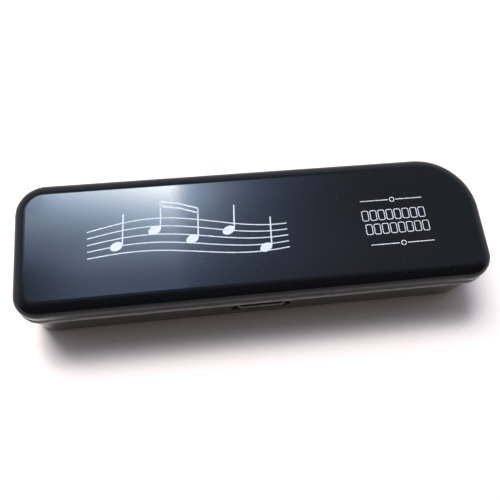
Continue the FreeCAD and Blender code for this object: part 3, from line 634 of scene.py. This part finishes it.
def make_lid_pad(foam, lining):
    """The pad glued under the lid, its lower face crowned, and the flock drawn over it."""
    low, high = (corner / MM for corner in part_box("lid_pad"))
    pad = remeshed("lid_pad_sponge", "lid_pad", 1.5, 2)
    middle = (low + high) / 2
    half = (high - low) / 2
    shrink, edge_pull, most_swell = 0.7, 0.5, 0.9
    waves, depth, glued = 30.0, 0.18, 0.5
    cover_edge, skin_gap, skin_thickness = 0.73, 0.04, 0.42

    def crown(place, normal):
        side = place - middle
        edge = max(abs(side.x) - (half.x - half.y), 0.0) / half.y
        round_edge = max(edge, abs(side.y) / half.y)
        lower = max(0.0, (high.z - place.z) / (high.z - low.z))
        rise = lower * (shrink + edge_pull * min(1.0, round_edge) ** 5)
        return Vector((0.0, 0.0, rise + lower * uneven(place, waves, depth)))

    moved(pad, crown)
    swollen(pad, lambda place: place.z > high.z - glued, most_swell)
    skin = split_off(pad, "lid_pad_cover", lambda place, normal: place.z < high.z - cover_edge)
    moved(pad, lambda place, normal: normal * -skin_gap)
    thickened(skin, skin_thickness)
    finished(pad, foam, "foam", "lid", "lid_pad")
    finished(skin, lining, "flocked_lining", "lid", "lid_lining")


# Springs

def make_spring(name, centre_x, material):
    """A wound wire with closed ends, between the bolt and the guide."""
    turns, radius, wire = 3.5, 1.8, 0.2
    front, rear, height = -26.10, -22.61, 16.0
    closing, cut_end = 0.62, 0.85
    steps, sides = 112, 10
    axis = Vector((0.0, 1.0, 0.0))
    points, faces = [], []
    for i in range(steps + 1):
        share = i / steps
        along = share - closing / (2 * math.pi) * math.sin(2 * math.pi * share)
        turn = 2 * math.pi * turns * share
        out = Vector((math.cos(turn), 0.0, math.sin(turn)))
        core = Vector((centre_x, front + (rear - front) * along, height)) + out * radius
        grow = wire * (cut_end if i in (0, steps) else 1.0)
        for k in range(sides):
            angle = 2 * math.pi * k / sides
            points.append(core + grow * (math.cos(angle) * out + math.sin(angle) * axis))
    for i in range(steps):
        ring, after = i * sides, (i + 1) * sides
        for k in range(sides):
            beside = (k + 1) % sides
            faces.append((ring + k, ring + beside, after + beside, after + k))
    faces.append(tuple(range(sides)))
    faces.append(tuple(steps * sides + k for k in reversed(range(sides))))
    thing = from_lists(name + "_coil", points, faces)
    finished(thing, material, "spring_steel", "latch", name)
    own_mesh(thing)


# Printed ornament on the lid

class Print:
    """Thin raised lines of ink on the lid's flat top."""

    lid_top = 40.0

    def __init__(self):
        self.points, self.faces = [], []
        self.pass_over(0)

    def pass_over(self, count):
        """Each pass of ink stands a little above the last, so that no two surfaces coincide."""
        self.low = self.lid_top - 0.01 - 0.002 * count
        self.high = self.lid_top + 0.02 + 0.004 * count

    def line(self, path, width, closed=False):
        """A ribbon of that width along the path, as a closed solid a little narrower on top."""
        narrow = 0.9
        count = len(path)
        rows = []
        for i, (x, y) in enumerate(path):
            before = path[(i - 1) % count] if closed or i > 0 else path[i]
            after = path[(i + 1) % count] if closed or i < count - 1 else path[i]
            way = Vector((after[0] - before[0], after[1] - before[1], 0.0)).normalized()
            side = Vector((-way.y, way.x, 0.0)) * width / 2
            middle = Vector((x, y, 0.0))
            row = []
            for corner, height in ((middle - side, self.low), (middle + side, self.low),
                                   (middle + side * narrow, self.high), (middle - side * narrow, self.high)):
                row.append(len(self.points))
                self.points.append((corner.x, corner.y, height))
            rows.append(row)
        last = count if closed else count - 1
        for i in range(last):
            row, after = rows[i], rows[(i + 1) % count]
            for k in range(4):
                beside = (k + 1) % 4
                self.faces.append((row[k], row[beside], after[beside], after[k]))
        if not closed:
            self.faces.append(tuple(rows[0]))
            self.faces.append(tuple(reversed(rows[-1])))

    def disc(self, path):
        """The area inside the path, as a closed solid."""
        first = len(self.points)
        count = len(path)
        for height in (self.low, self.high):
            self.points += [(x, y, height) for x, y in path]
        upper = first + count
        self.faces.append(tuple(first + k for k in reversed(range(count))))
        self.faces.append(tuple(upper + k for k in range(count)))
        for k in range(count):
            beside = (k + 1) % count
            self.faces.append((first + k, first + beside, upper + beside, upper + k))

    def done(self, name, material):
        thing = from_lists(name, self.points, self.faces)
        thing.data.materials.append(material)
        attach(thing, "lid")
        return thing


def oval(x, y, wide, tall, tilt=0.0, steps=36):
    """An oval of those half widths about x, y, turned by tilt degrees."""
    turn = math.radians(tilt)
    path = []
    for i in range(steps):
        angle = 2 * math.pi * i / steps
        along, across = wide * math.cos(angle), tall * math.sin(angle)
        path.append((x + along * math.cos(turn) - across * math.sin(turn),
                     y + along * math.sin(turn) + across * math.cos(turn)))
    return path


def rounded(x, y, wide, tall, corner, steps=5):
    """A rectangle of those half widths about x, y with round corners."""
    path = []
    for quarter, (side_x, side_y) in enumerate(((1, 1), (-1, 1), (-1, -1), (1, -1))):
        for k in range(steps + 1):
            angle = math.pi / 2 * (quarter + k / steps)
            path.append((x + side_x * (wide - corner) + corner * math.cos(angle),
                         y + side_y * (tall - corner) + corner * math.sin(angle)))
    return path


def wave(x, level):
    """How far back on the lid the line of that level lies at x."""
    spacing = 3.4 + 0.6 * math.sin((x + 70) / 21.0)
    return -1.6 + level * spacing + 3.0 * math.sin((x + 78) / 17.5)


def make_waves(material):
    """Five waving lines, with round notes on stems and two beams between the second and third."""
    left, length, steps = -78.0, 92.0, 110
    line_width, stem_width, beam_width = 0.52, 0.65, 0.75
    foot_x, foot_y, end_x = 2.7, 0.9, 3.6
    beam_gap, beam_bow, beam_slant = 2.3, 0.7, 0.06
    note_wide, note_tall, note_tilt = 3.0, 2.0, 24.0
    # Each note's place along the lid, its level among the lines and its stem's length
    notes = ((-65.0, -1.0, 15.5),
             (-47.5, 0.5, 14.0),
             (-30.5, -0.5, 15.0),
             (-13.5, 1.0, 12.5),
             (3.0, -1.5, 15.0))

    def stem_end(x, level, stem):
        return x + end_x, wave(x, level) + stem

    work = Print()
    for level in range(-2, 3):
        places = [left + length * i / steps for i in range(steps + 1)]
        work.line([(x, wave(x, level)) for x in places], line_width)

    work.pass_over(1)
    for x, level, stem in notes:
        foot = (x + foot_x, wave(x, level) + foot_y)
        work.line([foot, stem_end(x, level, stem)], stem_width)
    first, second = stem_end(*notes[1]), stem_end(*notes[2])
    for drop in (0.0, beam_gap):
        work.line([(first[0] - beam_slant * drop, first[1] - drop),
                   ((first[0] + second[0]) / 2, (first[1] + second[1]) / 2 + beam_bow - drop),
                   (second[0] - beam_slant * drop, second[1] - drop)], beam_width)

    work.pass_over(2)
    for x, level, stem in notes:
        work.disc(oval(x, wave(x, level), note_wide, note_tall, note_tilt))
    work.done("lid_print_waves", material)


def make_cells(material):
    """Two rows of rounded cells between two lines, each with a ring in it."""
    columns, first_x, spacing, row_shift = 8, 52.3, 4.0, 0.8
    cell_wide, cell_tall, cell_corner = 1.5, 2.5, 0.7
    outline_width, line_width = 0.40, 0.42
    line_left, ring_left, ring_x, ring_right, line_right = 51.0, 65.0, 66.9, 68.8, 82.0
    ring_radius = 1.1
    work = Print()
    for row, y in enumerate((2.0, -5.0)):
        for column in range(columns):
            x = first_x + column * spacing + row * row_shift
            work.line(rounded(x, y, cell_wide, cell_tall, cell_corner), outline_width, closed=True)
    for y, shift in ((9.6, 0.0), (-12.8, 1.6)):
        work.line([(line_left + shift, y), (ring_left + shift, y)], line_width)
        work.line(oval(ring_x + shift, y, ring_radius, ring_radius), outline_width, closed=True)
        work.line([(ring_right + shift, y), (line_right + shift, y)], line_width)
    work.done("lid_print_cells", material)


# The scene

make_camera()
make_world()
make_lamp("key", towards=(-0.28, 0.50, 1.0), away=0.95, size=0.42, power=5.4, colour=(1.0, 0.985, 0.96))
make_floor()

BLUE_BLACK = ((0.0044, 0.0050, 0.0064), (0.0060, 0.0067, 0.0084))
BLACK = ((0.0050, 0.0050, 0.0056), (0.0070, 0.0070, 0.0076))
# Painted highlight bands: their lower and upper heights, and the reach of the fainter painted sheen above
LID_LIP_HIGHLIGHT = (26.9, 28.75, 4.8)
BUTTON_EDGE_HIGHLIGHT = (18.3, 18.95, 0.0)
LINES_ALONG_X, LINES_ALONG_Y, NO_LINES = (1.0, 14.0, 14.0), (6.0, 1.0, 6.0), (5.0, 5.0, 5.0)

case = polished_plastic("case_plastic", *BLUE_BLACK, rough=(0.055, 0.10))
# The lid's lip carries a painted highlight along its edge, fading into a painted sheen above it
lid = polished_plastic("lid_plastic", *BLUE_BLACK, rough=(0.055, 0.10), painted_band=LID_LIP_HIGHLIGHT)
# The button's upper rounding carries a painted highlight in a lighter colour
button = polished_plastic("button_plastic", *BLACK, rough=(0.07, 0.13), painted_band=BUTTON_EDGE_HIGHLIGHT, specular=0.15)
guide = moulded_plastic("guide_plastic", (0.036, 0.036, 0.040), (0.052, 0.052, 0.058))
strip = steel("steel", (0.46, 0.47, 0.48), (0.62, 0.63, 0.64), LINES_ALONG_X, rough=(0.24, 0.40))
zinc = steel("screw_steel", (0.42, 0.42, 0.44), (0.58, 0.58, 0.60), LINES_ALONG_Y, rough=(0.26, 0.44))
drawn_wire = steel("spring_steel", (0.38, 0.38, 0.40), (0.52, 0.52, 0.54), NO_LINES, rough=(0.20, 0.34))
foam = sponge("foam", (0.020, 0.020, 0.023), (0.052, 0.052, 0.058))
lining = flock("flocked_lining", (0.028, 0.028, 0.034), (0.070, 0.072, 0.086))
white = ink("printed_ink")

paint(case, "base_shell")
paint(lid, "lid_shell")
paint(button, "latch_button")
paint(guide, "latch_housing")
paint(strip, "latch_bolt", "lid_catch", "hinge_pin_left", "hinge_pin_right")
paint(zinc, "latch_housing_screws", "lid_catch_screws")

make_tray(foam, lining)
make_cushion("recess_cushion_left", 1.0, foam)
make_cushion("recess_cushion_right_front", -1.0, foam)
make_cushion("recess_cushion_right_rear", -1.0, foam)
make_lid_pad(foam, lining)
make_spring("latch_spring_left", -10.7, drawn_wire)
make_spring("latch_spring_right", 10.7, drawn_wire)
make_waves(white)
make_cells(white)

bpy.context.scene.view_settings.view_transform = "Standard"
